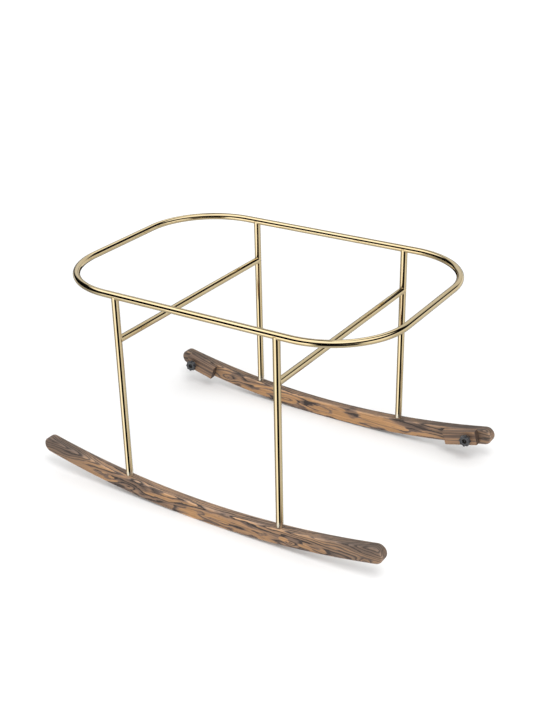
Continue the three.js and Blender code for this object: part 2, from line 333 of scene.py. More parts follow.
def polished_brass(name, marks, satin_foot=None):
    """Polished tube: marks is the stretch of its buffing marks along X, Y and Z, and satin_foot
    the heights between which a satin foot ends."""
    material, tree, shader, place = new_material(name)
    cloud = noise(tree, place, 9.0, 3.0, 0.55)
    colour = blend_colours(tree, fade(tree, cloud, 0.3, 0.75), BRASS, BRASS_DEEP)
    buffing = noise(tree, stretched(tree, place, marks), 1.0, 3.0, 0.65)
    smudge = noise(tree, place, 38.0, 4.0, 0.6)
    rough = maths(tree, "MULTIPLY_ADD", fade(tree, smudge, 0.4, 0.8), 0.04, 0.04)
    rough = maths(tree, "MULTIPLY_ADD", buffing, 0.02, rough)
    if satin_foot:
        ragged = maths(tree, "MULTIPLY_ADD", smudge, 0.004, part_of(tree, place, 2))
        satin = fade(tree, ragged, *satin_foot, 1.0, 0.0)
        colour = blend_colours(tree, satin, colour, BRASS_PALE)
        rough = maths(tree, "MULTIPLY_ADD", satin, 0.34, rough)
    dressed(tree, shader, colour, rough, buffing, 0.06, 0.0002)
    shader.inputs["Metallic"].default_value = 1
    return material


def finished(bm, name, material, body, slot, *stands_for):
    """A mesh made a piece: joined up, smooth but for its sharp edges, and riding on its body."""
    bmesh.ops.remove_doubles(bm, verts=bm.verts, dist=1e-6)
    bmesh.ops.recalc_face_normals(bm, faces=bm.faces)
    for face in bm.faces:
        face.smooth = True
    for edge in bm.edges:
        edge.smooth = edge.calc_face_angle(0) < SHARP_EDGE
    mesh = bpy.data.meshes.new(name)
    bm.to_mesh(mesh)
    bm.free()
    made = bpy.data.objects.new(name, mesh)
    bpy.context.scene.collection.objects.link(made)
    mesh.materials.append(material)
    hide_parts(*stands_for)
    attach(made, body)
    return made


def of_kind(made, kind):
    """The vertices or edges among what an operator made."""
    return [part for part in made if isinstance(part, kind)]


bm = bmesh.new()
side = RING_HALF_LENGTH - CORNER_RADIUS
front = RING_HALF_WIDTH - CORNER_RADIUS
upright = Matrix.Rotation(math.pi / 2, 4, "Y")
start = Matrix.Translation((-side, -RING_HALF_WIDTH, RING_HEIGHT)) @ upright
bmesh.ops.create_circle(bm, segments=TUBE_SIDES, radius=TUBE_RADIUS, matrix=start)
edges = list(bm.edges)
corners = [(side, -front), (side, front), (-side, front), (-side, -front)]
runs = [(2 * side, 0), (0, 2 * front), (-2 * side, 0), (0, -2 * front)]
for (corner_x, corner_y), (run_x, run_y) in zip(corners, runs):
    made = bmesh.ops.extrude_edge_only(bm, edges=edges)["geom"]
    bmesh.ops.translate(bm, vec=(run_x, run_y, 0), verts=of_kind(made, bmesh.types.BMVert))
    bend = bmesh.ops.spin(
        bm,
        geom=of_kind(made, bmesh.types.BMEdge),
        cent=(corner_x, corner_y, RING_HEIGHT),
        axis=(0, 0, 1),
        angle=math.pi / 2,
        steps=CORNER_STEPS,
    )
    edges = of_kind(bend["geom_last"], bmesh.types.BMEdge)
ring_brass = polished_brass("ring_brass", (260, 260, 900))
finished(bm, "brass_ring", ring_brass, "stand", "brass", "ring")

# ---- The legs ----
# Four brass tubes. Each is cut at the top to the round of the ring and brazed to it, with a fine
# bead at the joint. It stands in a socket in its rocker, and is left satin just above the wood.
LEG_X = 0.202
LEG_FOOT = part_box("leg_near_left")[0].z
BEAD = 0.0011
BEAD_STEPS = 4
BEAD_SUNK = 0.00005
TUBE_WALL = 0.001
TUBE_SUNK = 0.0015
TUBE_BORE = TUBE_RADIUS - TUBE_WALL
TUBE_EDGE = 0.0004
BORE_SHOWN = 0.006
SATIN_FOOT = (0.054, 0.074)


def grown(segments, loops, closed=False):
    """A part on the Z axis, grown loop by loop: each loop has a height and a radius, which may
    change round the axis. A closed part is joined from its last loop back to its first."""
    bm = bmesh.new()
    bmesh.ops.create_circle(bm, segments=segments, radius=1)
    edges = list(bm.edges)
    first = edges
    verts = list(bm.verts)
    for count, (height, radius) in enumerate(loops):
        if count:
            made = bmesh.ops.extrude_edge_only(bm, edges=edges)["geom"]
            verts = of_kind(made, bmesh.types.BMVert)
            edges = of_kind(made, bmesh.types.BMEdge)
        for vert in verts:
            turn = math.atan2(vert.co.y, vert.co.x)
            reach = radius(turn) if callable(radius) else radius
            rise = height(turn) if callable(height) else height
            vert.co = (reach * math.cos(turn), reach * math.sin(turn), rise)
    if closed:
        bmesh.ops.bridge_loops(bm, edges=first + edges)
    else:
        bmesh.ops.edgeloop_fill(bm, edges=first)
        bmesh.ops.edgeloop_fill(bm, edges=edges)
    return bm


def saddle(centre, across, side_of, spread, drop):
    """The height of a joint's line, where a part's end meets a crossing tube's side: across is
    the direction across that tube, and side_of is -1 below it and 1 above."""

    def height(turn):
        off = min(abs((TUBE_RADIUS + spread) * across(turn)), TUBE_RADIUS * 0.9999)
        return centre + side_of * (math.sqrt(TUBE_RADIUS**2 - off**2) + drop)

    return height


def joint_loops(centre, across, side_of):
    """The loops of a brazed end, from the tube's side out over the bead into the crossing tube."""
    loops = []
    for count in range(BEAD_STEPS + 1):
        bend = math.pi / 2 * count / BEAD_STEPS
        spread = BEAD * (1 - math.cos(bend))
        drop = BEAD * (1 - math.sin(bend))
        height = saddle(centre, across, side_of, spread, drop - BEAD_SUNK)
        loops.append((height, TUBE_RADIUS + spread))
    inside = saddle(centre, across, side_of, -TUBE_WALL, -TUBE_SUNK)
    loops.append((inside, TUBE_RADIUS - TUBE_WALL))
    return loops


leg_brass = polished_brass("leg_brass", (900, 900, 40), SATIN_FOOT)
for side_name, y in (("near", -RING_HALF_WIDTH), ("far", RING_HALF_WIDTH)):
    for end_name, x in (("left", -LEG_X), ("right", LEG_X)):
        foot = [
            (LEG_FOOT + BORE_SHOWN, TUBE_BORE),
            (LEG_FOOT + TUBE_EDGE, TUBE_BORE),
            (LEG_FOOT, TUBE_BORE + TUBE_EDGE),
            (LEG_FOOT, TUBE_RADIUS - TUBE_EDGE),
            (LEG_FOOT + TUBE_EDGE, TUBE_RADIUS),
        ]
        bm = grown(TUBE_SIDES, foot + joint_loops(RING_HEIGHT, math.sin, -1))
        bmesh.ops.translate(bm, vec=(x, y, 0), verts=bm.verts)
        where = f"{side_name}_{end_name}"
        finished(bm, f"brass_leg_{where}", leg_brass, "stand", "brass", f"leg_{where}")

# ---- The cross bars ----
# Two brass tubes from a near leg to a far one, brazed to the legs at both ends. The basket rests
# on them.
BAR_HEIGHT = 0.389

bar_brass = polished_brass("bar_brass", (900, 40, 900))
for end_name, x in (("left", -LEG_X), ("right", LEG_X)):
    far_end = joint_loops(RING_HALF_WIDTH, math.cos, -1)
    near_end = joint_loops(-RING_HALF_WIDTH, math.cos, 1)
    bm = grown(TUBE_SIDES, near_end[::-1] + far_end)
    bmesh.ops.rotate(bm, matrix=Matrix.Rotation(-math.pi / 2, 3, "X"), verts=bm.verts)
    bmesh.ops.translate(bm, vec=(x, 0, BAR_HEIGHT), verts=bm.verts)
    finished(bm, f"brass_cross_bar_{end_name}", bar_brass, "stand", "brass", f"cross_bar_{end_name}")

# ---- The rockers ----
# Two runners sawn to a curve from a flat-sawn softwood plank and sanded, with their edges eased,
# stained and varnished. The grain runs straight along the plank, so it crosses the curved edges.
ROCKER_HALF = 0.450
ROCKER_THICK = 0.024
ROCKER_DEEP = 0.040
LOWER_RADIUS = 2.080
UPPER_RADIUS = 2.150
FLAT_HALF = 0.020
ROCKER_EASE = 0.0032
EASE_STEPS = 5
CORNER_EDGE = math.radians(60)
CUT_EDGE = math.radians(28)
ARC_STEPS = 60
END_STEPS = 28
SOCKET_DEEP = 0.014
SOCKET_RADIUS = 0.0083
COUNTERBORE_DEEP = 0.009
COUNTERBORE_RADIUS = 0.0063
SCREW_RADIUS = 0.003
SCREW_HOLE = 0.0033
STUD_HOLE_DEEP = 0.0183
# Heights and a length that take a cutter clear of the wood.
BELOW_ROCKER = -0.02
ABOVE_ROCKER = 0.09
PAST_FACE = 0.01
PIVOT_X = 0.398
WOOD_ORANGE = (0.46, 0.255, 0.118)
WOOD_TAN = (0.30, 0.182, 0.110)
WOOD_BROWN = (0.190, 0.124, 0.088)
WOOD_GREY = (0.118, 0.080, 0.062)
WOOD_DARK = (0.048, 0.034, 0.028)
WOOD_END = (0.118, 0.082, 0.060)
WOOD_SHEEN = 0.35
# How much lighter the eased edges are in patches: wear, and a painted highlight along them.
EDGE_WEAR_AND_HIGHLIGHT = 0.35
# The stain's colour by how dark the wood is, and how dark a year's growth is from early to late.
STAIN = [
    (0.12, WOOD_ORANGE),
    (0.34, WOOD_TAN),
    (0.58, WOOD_BROWN),
    (0.86, WOOD_GREY),
    (1.0, WOOD_DARK),
]
LATE_WOOD = [
    (0, 0.5),
    (0.07, 0.0),
    (0.50, 0.10),
    (0.66, 0.45),
    (0.80, 1.0),
    (0.95, 1.0),
    (1, 0.5),
]
# How far the growth rings wander and wobble, and where their heart lies from a rocker's middle.
WANDER = 0.022
WOBBLE = 0.0046
HEART_BEHIND = 0.070
HEART_HEIGHT = 0.004


def arc_rise(radius, x):
    """How far an arc has risen at x from its lowest point."""
    return radius - math.sqrt(radius**2 - x**2)


def hump_round(tree, place, centre, reach, falloff):
    """The share of a soft round hump: 1 at its centre and 0 at its reach."""
    inputs = {"Vector": place, "Location": centre, "Scale": reach}
    near = node(tree, "ShaderNodeMapping", {"vector_type": "TEXTURE"}, **inputs).outputs[0]
    return node(tree, "ShaderNodeTexGradient", {"gradient_type": falloff}, i0=near).outputs[1]


def growth_rings(tree, place, heart, swells, shift, wobble):
    """How far out from a heart line along X each place in the wood grew. A swell pushes the rings
    out or in round a point, as a knot beside the board does: (centre, reach, how far)."""
    from_heart = stretched(tree, place, (0, 1, 1), (0, -heart[0], -heart[1]))
    length = node(tree, "ShaderNodeVectorMath", {"operation": "LENGTH"}, i0=from_heart)
    broad = noise(tree, stretched(tree, place, (7.5, 30, 30), shift), 1.0, 2.0, 0.5)
    rings = maths(tree, "MULTIPLY_ADD", broad, WANDER, length.outputs["Value"])
    rings = maths(tree, "MULTIPLY_ADD", wobble, WOBBLE, rings)
    for centre, reach, push in swells:
        hump = hump_round(tree, place, centre, reach, "QUADRATIC_SPHERE")
        rings = maths(tree, "MULTIPLY_ADD", hump, push, rings)
    return rings


def grain_shade(tree, place):
    """The fine grain along the board: its fibres, and how light or dark it makes the wood."""
    fibre = noise(tree, stretched(tree, place, (14, 620, 620)), 1.0, 3.0, 0.6)
    streak = noise(tree, stretched(tree, place, (4, 190, 190)), 1.0, 2.0, 0.55)
    pores = noise(tree, stretched(tree, place, (60, 1500, 1500)), 1.0, 1.0, 0.5)
    pores = fade(tree, pores, 0.60, 0.70)
    shade = maths(tree, "MULTIPLY_ADD", fade(tree, fibre, 0.25, 0.75), 0.34, 0.67)
    shade = maths(tree, "MULTIPLY_ADD", fade(tree, streak, 0.3, 0.7), 0.30, shade)
    shade = maths(tree, "MULTIPLY_ADD", pores, -0.22, shade)
    grey = node(tree, "ShaderNodeCombineColor", None, i0=shade, i1=shade, i2=shade).outputs[0]
    return fibre, pores, grey


def recoloured(tree, colour, saturation, value):
    """A colour made duller or stronger, and darker or lighter."""
    inputs = {"Saturation": saturation, "Value": value, "Color": colour}
    return node(tree, "ShaderNodeHueSaturation", None, **inputs).outputs[0]


def figured_wood(name, heart, swells, tones, spacing, seed, orange, sawn, wear_and_highlight=0.0):
    """Flat-sawn stained wood. Each tone darkens or lightens it round a point, orange is how far the
    stain leaves it orange, sawn darkens its sawn edges, and the last argument lightens patches of it:
    wear, and a painted highlight where it is used on the eased edges."""
    material, tree, shader, place = new_material(name)
    shift = (seed, seed * 0.7, seed * 1.3)
    wobble = noise(tree, stretched(tree, place, (34, 150, 150), shift), 1.0, 3.0, 0.6)
    rings = growth_rings(tree, place, heart, swells, shift, wobble)
    count = maths(tree, "MULTIPLY", rings, 1 / spacing)
    phase = maths(tree, "FRACT", count)
    year = maths(tree, "ADD", maths(tree, "FLOOR", count), seed)
    year_tone = node(tree, "ShaderNodeTexWhiteNoise", {"noise_dimensions": "1D"}, W=year).outputs[0]
    late = ramp(tree, phase, LATE_WOOD)
    patch = noise(tree, stretched(tree, place, (6.5, 30, 30), (seed * 2, 4, 9)), 1.0, 3.0, 0.55)
    patch = fade(tree, patch, 0.40, 0.60)
    dark = maths(tree, "MULTIPLY_ADD", year_tone, 0.42, maths(tree, "MULTIPLY", late, 0.80))
    dark = maths(tree, "SUBTRACT", dark, 0.16 * orange)
    dark = maths(tree, "MULTIPLY_ADD", patch, 0.20 + 0.12 * orange, dark)
    ragged = maths(tree, "ADD", wobble, 0.5)
    for centre, reach, deeper in tones:
        hump = maths(tree, "MULTIPLY", hump_round(tree, place, centre, reach, "SPHERICAL"), ragged)
        dark = maths(tree, "MULTIPLY_ADD", fade(tree, hump, 0.04, 0.42), deeper, dark)
    colour = ramp(tree, dark, STAIN)
    fibre, pores, grey = grain_shade(tree, place)
    colour = blend_colours(tree, 1.0, colour, grey, "MULTIPLY")
    # The ends took more stain.
    far_out = maths(tree, "ABSOLUTE", part_of(tree, place, 0))
    greyed = blend_colours(tree, 0.35, recoloured(tree, colour, 0.84, 0.72), WOOD_END)
    colour = blend_colours(tree, fade(tree, far_out, 0.20, 0.40, 0.0, 0.85), colour, greyed)
    # The faces turned up and down, the sawn curves, are darker and duller.
    facing = node(tree, "ShaderNodeTexCoord").outputs["Normal"]
    upright = maths(tree, "ABSOLUTE", part_of(tree, facing, 2))
    stained = fade(tree, upright, 0.55, 0.95)
    colour = blend_colours(tree, stained, colour, recoloured(tree, colour, 0.86, sawn))
    # Lighter patches: wear, and a painted highlight on the eased edges.
    if wear_and_highlight:
        rub_and_highlight = noise(tree, stretched(tree, place, (30, 90, 90)), 1.0, 3.0, 0.6)
        lighter = recoloured(tree, colour, 0.9, 1 + wear_and_highlight)
        colour = blend_colours(tree, fade(tree, rub_and_highlight, 0.25, 0.6), colour, lighter)
    rough = maths(tree, "MULTIPLY_ADD", fibre, 0.18, maths(tree, "MULTIPLY_ADD", late, -0.10, 0.50))
    relief = maths(tree, "MULTIPLY_ADD", fibre, 0.6, maths(tree, "MULTIPLY_ADD", pores, -0.8, late))
    dressed(tree, shader, colour, rough, relief, 0.35, 0.0003)
    shader.inputs["Specular IOR Level"].default_value = WOOD_SHEEN
    return material


def board_of(bm, thick, ease, edge_material=1):
    """A flat sheet of faces standing in X and Z made a board. Its outline's edges are eased, and
    the eased faces take a material's slot."""
    sheet_faces = list(bm.faces)
    made = bmesh.ops.extrude_face_region(bm, geom=sheet_faces)["geom"]
    bmesh.ops.translate(bm, vec=(0, thick, 0), verts=of_kind(made, bmesh.types.BMVert))
    bmesh.ops.translate(bm, vec=(0, -thick / 2, 0), verts=bm.verts)
    bmesh.ops.recalc_face_normals(bm, faces=bm.faces)
    outline = [edge for edge in bm.edges if edge.calc_face_angle(0) > CORNER_EDGE]
    bmesh.ops.bevel(
        bm,
        geom=outline,
        offset=ease,
        affect="EDGES",
        segments=EASE_STEPS,
        profile=0.5,
        material=edge_material,
    )


def rocker_blank():
    """Half the outline by arcs turned about their centres, mirrored, and made a board."""
    bm = bmesh.new()
    reach = ROCKER_HALF - ROCKER_DEEP / 2
    base = arc_rise(LOWER_RADIUS, FLAT_HALF)
    slope = math.asin(reach / LOWER_RADIUS)
    depth = ROCKER_DEEP + arc_rise(UPPER_RADIUS, reach) - arc_rise(LOWER_RADIUS, reach) + base
    end_radius = depth / 2 * math.cos(slope)
    end_x = ROCKER_HALF - end_radius
    low = arc_rise(LOWER_RADIUS, end_x) - base
    high = ROCKER_DEEP + arc_rise(UPPER_RADIUS, end_x)
    end_z = (low + high) / 2

    first = bm.verts.new((0, 0, 0))
    corner = bmesh.ops.extrude_vert_indiv(bm, verts=[first])["verts"][0]
    corner.co.x = FLAT_HALF
    sweep = math.asin((end_x + end_radius * math.sin(slope)) / LOWER_RADIUS)
    sweep -= math.asin(FLAT_HALF / LOWER_RADIUS)
    made = bmesh.ops.spin(
        bm,
        geom=[corner],
        cent=(0, 0, LOWER_RADIUS - base),
        axis=(0, -1, 0),
        angle=sweep,
        steps=ARC_STEPS,
    )
    lower_end = of_kind(made["geom_last"], bmesh.types.BMVert)[0]
    lower = list(bm.edges)
    top = bm.verts.new((0, 0, ROCKER_DEEP))
    made = bmesh.ops.spin(
        bm,
        geom=[top],
        cent=(0, 0, ROCKER_DEEP + UPPER_RADIUS),
        axis=(0, -1, 0),
        angle=math.asin((end_x - end_radius * math.sin(slope)) / UPPER_RADIUS),
        steps=ARC_STEPS + 1,
    )
    upper_end = of_kind(made["geom_last"], bmesh.types.BMVert)[0]
    upper = [edge for edge in bm.edges if edge not in lower]
    bmesh.ops.bridge_loops(bm, edges=lower + upper)
    made = bmesh.ops.spin(
        bm,
        geom=[lower_end],
        cent=(end_x, 0, end_z),
        axis=(0, -1, 0),
        angle=math.pi,
        steps=END_STEPS,
    )
    last = of_kind(made["geom_last"], bmesh.types.BMVert)[0]
    bmesh.ops.weld_verts(bm, targetmap={last: upper_end})
    closing = bm.edges.get((lower_end, upper_end))
    round_end = [edge for edge in bm.edges if not edge.link_faces]
    bmesh.ops.edgeloop_fill(bm, edges=round_end + [closing])
    bmesh.ops.mirror(bm, geom=bm.verts[:] + bm.edges[:] + bm.faces[:], axis="X", merge_dist=1e-6)
    bmesh.ops.recalc_face_normals(bm, faces=bm.faces)
    board_of(bm, ROCKER_THICK, ROCKER_EASE)
    return bm


def drilled(piece, cutters):
    """The piece with each cutter's shape taken out of it."""
    for bm in cutters:
        bmesh.ops.recalc_face_normals(bm, faces=bm.faces)
        cutter_mesh = bpy.data.meshes.new("cutter")
        bm.to_mesh(cutter_mesh)
        bm.free()
        cutter = bpy.data.objects.new("cutter", cutter_mesh)
        bpy.context.scene.collection.objects.link(cutter)
        hole = piece.modifiers.new("hole", "BOOLEAN")
        hole.operation = "DIFFERENCE"
        hole.solver = "EXACT"
        hole.object = cutter
        bpy.context.view_layer.update()
        graph = bpy.context.evaluated_depsgraph_get()
        cut_mesh = bpy.data.meshes.new_from_object(piece.evaluated_get(graph))
        piece.modifiers.clear()
        piece.data = cut_mesh
        bpy.data.objects.remove(cutter)
    cleaned = bmesh.new()
    cleaned.from_mesh(piece.data)
    bmesh.ops.remove_doubles(cleaned, verts=cleaned.verts, dist=1e-6)
    for face in cleaned.faces:
        face.smooth = True
    for edge in cleaned.edges:
        edge.smooth = edge.calc_face_angle(0) < CUT_EDGE
    cleaned.to_mesh(piece.data)
    cleaned.free()
    flat_faces = piece.modifiers.new("flat_faces", "WEIGHTED_NORMAL")
    flat_faces.keep_sharp = True
    return piece


socket_floor = ROCKER_DEEP + arc_rise(UPPER_RADIUS, LEG_X) - SOCKET_DEEP
lower_at_leg = arc_rise(LOWER_RADIUS, LEG_X) - arc_rise(LOWER_RADIUS, FLAT_HALF)
counterbore_roof = lower_at_leg + COUNTERBORE_DEEP
pivot_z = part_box("stopper_stud_left")[0].z + SCREW_RADIUS
# Where a rocker's rings swell and its stain is darker or lighter, on the face that is seen: the
# centre along X and Z, the reach along X, Y and Z, and how much.
NEAR_SWELLS = [
    ((-0.330, 0.010), (0.150, 0.05, 0.020), 0.013),
    ((-0.196, 0.026), (0.060, 0.05, 0.016), -0.008),
    ((0.070, 0.018), (0.120, 0.05, 0.010), 0.006),
    ((0.235, 0.026), (0.030, 0.04, 0.008), 0.009),
    ((0.290, 0.034), (0.050, 0.04, 0.010), 0.007),
    ((0.415, 0.042), (0.035, 0.05, 0.020), 0.017),
]
NEAR_TONES = [
    ((-0.352, 0.037), (0.060, 0.04, 0.012), -0.60),
    ((-0.280, 0.029), (0.065, 0.04, 0.013), -0.60),
    ((-0.400, 0.066), (0.090, 0.05, 0.024), 0.30),
    ((-0.190, 0.034), (0.055, 0.04, 0.018), 0.15),
    ((-0.012, 0.022), (0.030, 0.03, 0.007), -0.50),
    ((0.048, 0.021), (0.038, 0.03, 0.008), -0.45),
    ((0.219, 0.029), (0.016, 0.03, 0.006), -0.90),
    ((0.271, 0.029), (0.022, 0.03, 0.006), -0.80),
    ((0.360, 0.052), (0.110, 0.05, 0.034), 0.04),
]
FAR_TONES = [
    ((-0.190, 0.027), (0.040, 0.04, 0.016), -0.40),
    ((-0.110, 0.025), (0.055, 0.04, 0.014), -0.36),
    ((-0.060, 0.024), (0.032, 0.03, 0.007), 0.60),
    ((0.022, 0.021), (0.065, 0.05, 0.020), -0.50),
    ((0.077, 0.030), (0.028, 0.04, 0.017), 0.55),
    ((0.150, 0.024), (0.085, 0.05, 0.015), -0.48),
    ((0.240, 0.044), (0.060, 0.04, 0.012), 0.50),
    ((0.330, 0.050), (0.090, 0.05, 0.034), 0.02),
]
FAR_SWELLS = [
    ((-0.300, 0.036), (0.045, 0.05, 0.020), 0.012),
    ((-0.120, 0.022), (0.080, 0.05, 0.018), -0.010),
    ((-0.020, 0.018), (0.110, 0.05, 0.016), 0.009),
    ((0.190, 0.026), (0.120, 0.05, 0.014), 0.009),
]
NEAR_BOARD = {"spacing": 0.0044, "seed": 3.0, "orange": 0.80, "sawn": 0.86}
FAR_BOARD = {"spacing": 0.0060, "seed": 11.0, "orange": 1.15, "sawn": 0.60}


def on_face(face_y, humps):
    """Humps placed on the face at a Y."""
    return [((x, face_y, z), reach, amount) for (x, z), reach, amount in humps]


for side_name, y, swells, tones, board in (
    ("near", -RING_HALF_WIDTH, NEAR_SWELLS, NEAR_TONES, NEAR_BOARD),
    ("far", RING_HALF_WIDTH, FAR_SWELLS, FAR_TONES, FAR_BOARD),
):
    face_y = y - ROCKER_THICK / 2
    figure = ((y + HEART_BEHIND, HEART_HEIGHT), on_face(face_y, swells), on_face(face_y, tones))
    wood = figured_wood(f"{side_name}_rocker_wood", *figure, **board)
    # The eased edges' wood, lighter in patches: wear, and a painted highlight.
    eased = figured_wood(f"{side_name}_rocker_edge", *figure, **board, wear_and_highlight=EDGE_WEAR_AND_HIGHLIGHT)
    bm = rocker_blank()
    bmesh.ops.translate(bm, vec=(0, y, 0), verts=bm.verts)
    name = f"wood_rocker_{side_name}"
    rocker = finished(bm, name, wood, "stand", "rocker_wood", f"rocker_{side_name}")
    rocker.data.materials.append(eased)
    cutters = []
    for x in (-LEG_X, LEG_X):
        steps = [
            (BELOW_ROCKER, COUNTERBORE_RADIUS),
            (counterbore_roof, COUNTERBORE_RADIUS),
            (counterbore_roof, SCREW_HOLE),
            (socket_floor, SCREW_HOLE),
            (socket_floor, SOCKET_RADIUS),
            (ABOVE_ROCKER, SOCKET_RADIUS),
        ]
        bore = grown(48, steps)
        bmesh.ops.translate(bore, vec=(x, y, 0), verts=bore.verts)
        cutters.append(bore)
    if side_name == "far":
        for x in (-PIVOT_X, PIVOT_X):
            hole = grown(32, [(-STUD_HOLE_DEEP, SCREW_HOLE), (PAST_FACE, SCREW_HOLE)])
            bmesh.ops.rotate(hole, matrix=Matrix.Rotation(math.pi / 2, 3, "X"), verts=hole.verts)
            bmesh.ops.translate(hole, vec=(x, face_y, pivot_z), verts=hole.verts)
            cutters.append(hole)
    drilled(rocker, cutters)

# ---- The leg fixings ----
# In each leg's foot a turned brass plug, tapped for a zinc-plated socket screw, which comes up from
# below through the rocker with a plain washer under its head.
PLUG_RADIUS = 0.0067
PLUG_BREAK = 0.0004
PLUG_LEAD = 0.0008
TAPPED_LEAD = 0.0005
KEY_FLATS = 0.0040
KEY_DEEP = 0.0022
SCREW_HEAD = 0.005
SCREW_HEAD_HEIGHT = 0.004
SCREW_PLAIN = 0.004
SCREW_TIP = 0.0021
THREAD_PITCH = 0.001
THREAD_DEEP = 0.00045
BREAK = 0.0003
LEG_WASHER = 0.0060
TURNED_BRASS = (0.70, 0.54, 0.27)
TURNED_BRASS_DULL = (0.55, 0.40, 0.18)
ZINC = (0.60, 0.62, 0.63)
ZINC_DULL = (0.42, 0.43, 0.45)


def turned_metal(name, colour, darker, rough_low, rough_high):
    """Turned or plated metal: fine lines from the tool, and a mottled dullness."""
    material, tree, shader, place = new_material(name)
    mottle = noise(tree, place, 260.0, 4.0, 0.6)
    dull = noise(tree, place, 60.0, 3.0, 0.5)
    lines = noise(tree, stretched(tree, place, (400, 400, 5200)), 1.0, 2.0, 0.5)
    shade = blend_colours(tree, fade(tree, mottle, 0.3, 0.75), colour, darker)
    rough = fade(tree, dull, 0.25, 0.8, rough_low, rough_high)
    dressed(tree, shader, shade, rough, lines, 0.15, 0.0001)
    shader.inputs["Metallic"].default_value = 1
    return material


def hexagon(flats):
    """The radius of a hexagon hole round its axis."""

    def radius(turn):
        sixth = math.pi / 3
        return flats / 2 / math.cos((turn + math.pi) % sixth - sixth / 2)

    return radius


def threaded(low, high):
    """The loops of a rolled thread from one height to another, drawn as rings."""
    loops = []
    turns = max(1, round((high - low) / THREAD_PITCH))
    for count in range(turns):
        foot = low + (high - low) * count / turns
        loops += [(foot, SCREW_RADIUS - THREAD_DEEP), (foot + THREAD_PITCH / 2, SCREW_RADIUS)]
    return loops + [(high, SCREW_RADIUS - THREAD_DEEP)]


def flat_washer(segments, low, high, radius, chamfer=BREAK):
    """A washer on the Z axis with a screw's hole, and its rim broken on both faces."""
    loops = [
        (low, SCREW_HOLE),
        (low, radius - chamfer),
        (low + BREAK, radius),
        (high - BREAK, radius),
        (high, radius - chamfer),
        (high, SCREW_HOLE),
    ]
    return grown(segments, loops, closed=True)


plug_brass = turned_metal("plug_brass", TURNED_BRASS, TURNED_BRASS_DULL, 0.22, 0.42)
zinc = turned_metal("zinc_plate", ZINC, ZINC_DULL, 0.28, 0.5)
for side_name, y in (("near", -RING_HALF_WIDTH), ("far", RING_HALF_WIDTH)):
    for end_name, x in (("left", -LEG_X), ("right", LEG_X)):
        where = f"{side_name}_{end_name}"
        low, high = (corner.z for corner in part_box(f"leg_plug_{where}"))
        plug = [
            (low, SCREW_HOLE),
            (low, PLUG_RADIUS - PLUG_BREAK),
            (low + PLUG_BREAK, PLUG_RADIUS),
            (high - PLUG_LEAD, PLUG_RADIUS),
            (high, PLUG_RADIUS - PLUG_LEAD),
            (high, SCREW_HOLE + TAPPED_LEAD),
            (high - TAPPED_LEAD, SCREW_HOLE),
        ]
        bm = grown(48, plug, closed=True)
        bmesh.ops.translate(bm, vec=(x, y, 0), verts=bm.verts)
        finished(bm, f"brass_plug_{where}", plug_brass, "stand", "turned_brass", f"leg_plug_{where}")

        low, high = (corner.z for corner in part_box(f"leg_bolt_{where}"))
        head_top = low + SCREW_HEAD_HEIGHT
        screw = [
            (low + KEY_DEEP + 0.0003, 0.0006),
            (low + KEY_DEEP, hexagon(KEY_FLATS)),
            (low + 0.0002, hexagon(KEY_FLATS)),
            (low, 0.0026),
            (low, SCREW_HEAD - 0.0006),
            (low + 0.0005, SCREW_HEAD),
            (head_top, SCREW_HEAD),
            (head_top, SCREW_RADIUS),
            (head_top + SCREW_PLAIN, SCREW_RADIUS),
        ]
        screw += threaded(head_top + SCREW_PLAIN + THREAD_PITCH / 2, high - 0.0006)
        screw += [(high, SCREW_TIP)]
        bm = grown(48, screw)
        bmesh.ops.translate(bm, vec=(x, y, 0), verts=bm.verts)
        finished(bm, f"leg_screw_{where}", zinc, "stand", "zinc_steel", f"leg_bolt_{where}")

        low, high = (corner.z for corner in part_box(f"leg_washer_{where}"))
        bm = flat_washer(48, low, high, LEG_WASHER)
        bmesh.ops.translate(bm, vec=(x, y, 0), verts=bm.verts)
        finished(bm, f"screw_washer_{where}", zinc, "stand", "zinc_steel", f"leg_washer_{where}")

# ---- The studs and friction washers ----
# Near each end of the far rocker a threaded stud is glued into its inner face, with a pressed fibre
# washer on it for the stopper to turn against. The stud is coloured near black as painted shade for its
# end deep in the knob's hole.
INNER_FACE = RING_HALF_WIDTH - ROCKER_THICK / 2
STUD_TIP = 0.0022
STUD_LEAD = 0.0008
# The stud is plain from just inside the rocker to here, off the inner face.
STUD_PLAIN = 0.020
FRICTION_WASHER = 0.0110
FRICTION_CHAMFER = 0.0002
# Near black: painted shade for the stud's end in the knob's hole.
STUD_PAINTED_SHADE = (0.075, 0.077, 0.082)
STUD_PAINTED_SHADE_DULL = (0.045, 0.046, 0.050)
FIBRE = (0.055, 0.042, 0.033)
FIBRE_PALE = (0.12, 0.095, 0.075)


def on_pivot(bm, x):
    """A part grown on the Z axis set on a stopper's pivot, pointing out of the inner face."""
    bmesh.ops.rotate(bm, matrix=Matrix.Rotation(math.pi / 2, 3, "X"), verts=bm.verts)
    bmesh.ops.translate(bm, vec=(x, INNER_FACE, pivot_z), verts=bm.verts)
    return bm


def standing_off(name):
    """How far a node's back and front stand off the rocker's inner face."""
    near_corner, far_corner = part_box(name)
    return INNER_FACE - far_corner.y, INNER_FACE - near_corner.y


# The stud's colour, dark as painted shade inside the knob's hole.
stud_painted_shade = turned_metal("stud_painted_shade", STUD_PAINTED_SHADE, STUD_PAINTED_SHADE_DULL, 0.4, 0.6)
fibre_card, tree, shader, place = new_material("pressed_fibre")
fleck = noise(tree, place, 1400.0, 3.0, 0.7)
weave = noise(tree, place, 320.0, 2.0, 0.5)
shade = blend_colours(tree, fade(tree, fleck, 0.35, 0.7), FIBRE, FIBRE_PALE)
dressed(tree, shader, shade, fade(tree, weave, 0.3, 0.7, 0.78, 0.95), fleck, 0.5, 0.0001)

